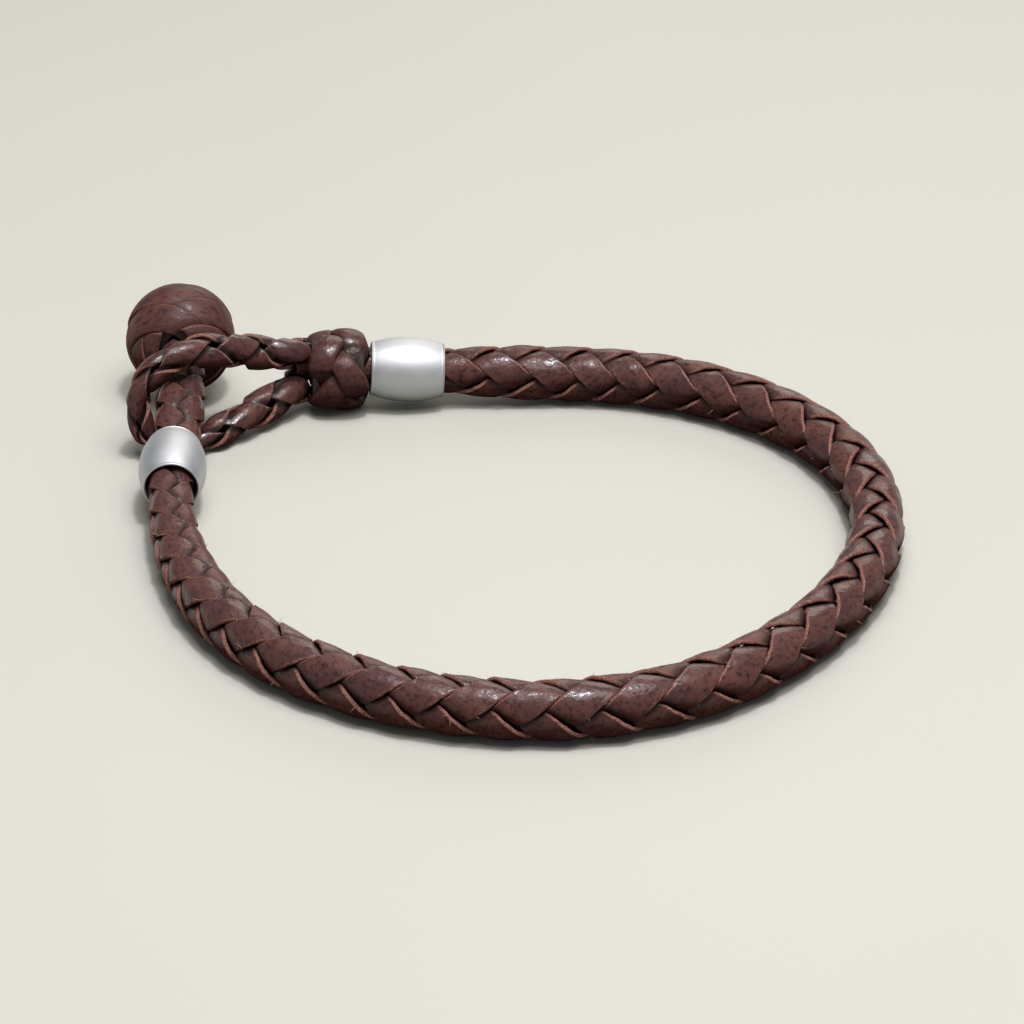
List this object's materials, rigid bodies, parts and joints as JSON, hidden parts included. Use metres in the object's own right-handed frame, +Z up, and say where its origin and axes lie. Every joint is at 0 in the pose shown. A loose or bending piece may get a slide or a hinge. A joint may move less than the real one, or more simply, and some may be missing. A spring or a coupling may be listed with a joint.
{
  "type": "braided leather bracelet",
  "caption": "Braided leather bracelet, closed, with a ball knot and loop clasp, a plaited collar and two metal barrel beads.",
  "frame": {"origin": "under the middle of the whole bracelet's box, on the surface that it lies on", "axes": "+Z up from the surface, +Y from the front of the band towards the button knot, +X from the button side towards the collar's side"},
  "size_m": [0.0747, 0.0726, 0.0117],
  "materials": {
    "leather_band": "semi-gloss waxed grain, raw reddish cut edges",
    "leather_button": "smooth satin grain",
    "leather_loop": "semi-gloss grain, rough cut edges",
    "leather_collar": "semi-gloss grain",
    "cord_core": "twisted cotton cord",
    "former": "plain turned wood",
    "waxed_thread": "waxed thread",
    "bead_metal": "satin silver-coloured metal"
  },
  "bodies": {
    "button_end": {"band_lace_1_button_half": "leather_band", "band_lace_2_button_half": "leather_band", "band_lace_3_button_half": "leather_band", "band_lace_4_button_half": "leather_band", "band_lace_5_button_half": "leather_band", "band_lace_6_button_half": "leather_band", "band_lace_7_button_half": "leather_band", "band_lace_8_button_half": "leather_band", "core_button_half": "cord_core", "button_former": "former", "button_lace_1": "leather_button", "button_lace_2": "leather_button", "button_lace_3": "leather_button", "button_lace_4": "leather_button", "button_lace_5": "leather_button", "button_lace_6": "leather_button", "button_lace_7": "leather_button", "button_lace_8": "leather_button"},
    "loop_end": {"band_lace_1_loop_half": "leather_band", "band_lace_2_loop_half": "leather_band", "band_lace_3_loop_half": "leather_band", "band_lace_4_loop_half": "leather_band", "band_lace_5_loop_half": "leather_band", "band_lace_6_loop_half": "leather_band", "band_lace_7_loop_half": "leather_band", "band_lace_8_loop_half": "leather_band", "core_loop_half": "cord_core", "loop_lace_1": "leather_loop", "loop_lace_2": "leather_loop", "loop_lace_3": "leather_loop", "loop_lace_4": "leather_loop", "collar_lace": "leather_collar", "loop_whipping": "waxed_thread"},
    "bead_1": {"bead_1": "bead_metal"},
    "bead_2": {"bead_2": "bead_metal"}
  },
  "joints": [
    {"name": "band_flex", "type": "hinge", "parent": "button_end", "child": "loop_end", "pos_m": [0.02373, -0.02819, 0.00272], "axis": [0, 0, -1], "range_deg": [0, 30], "deforming": ["loop_lace_1", "loop_lace_2", "loop_lace_3", "loop_lace_4"]},
    {"name": "bead_1_slide", "type": "slide", "parent": "button_end", "child": "bead_1", "axis": [0.0279, -0.9992, -0.0275], "range_m": [-0.0008, 0.0022]},
    {"name": "bead_2_slide", "type": "slide", "parent": "loop_end", "child": "bead_2", "axis": [0.9963, 0.0592, -0.0625], "range_m": [0, 0.0022]}
  ]
}
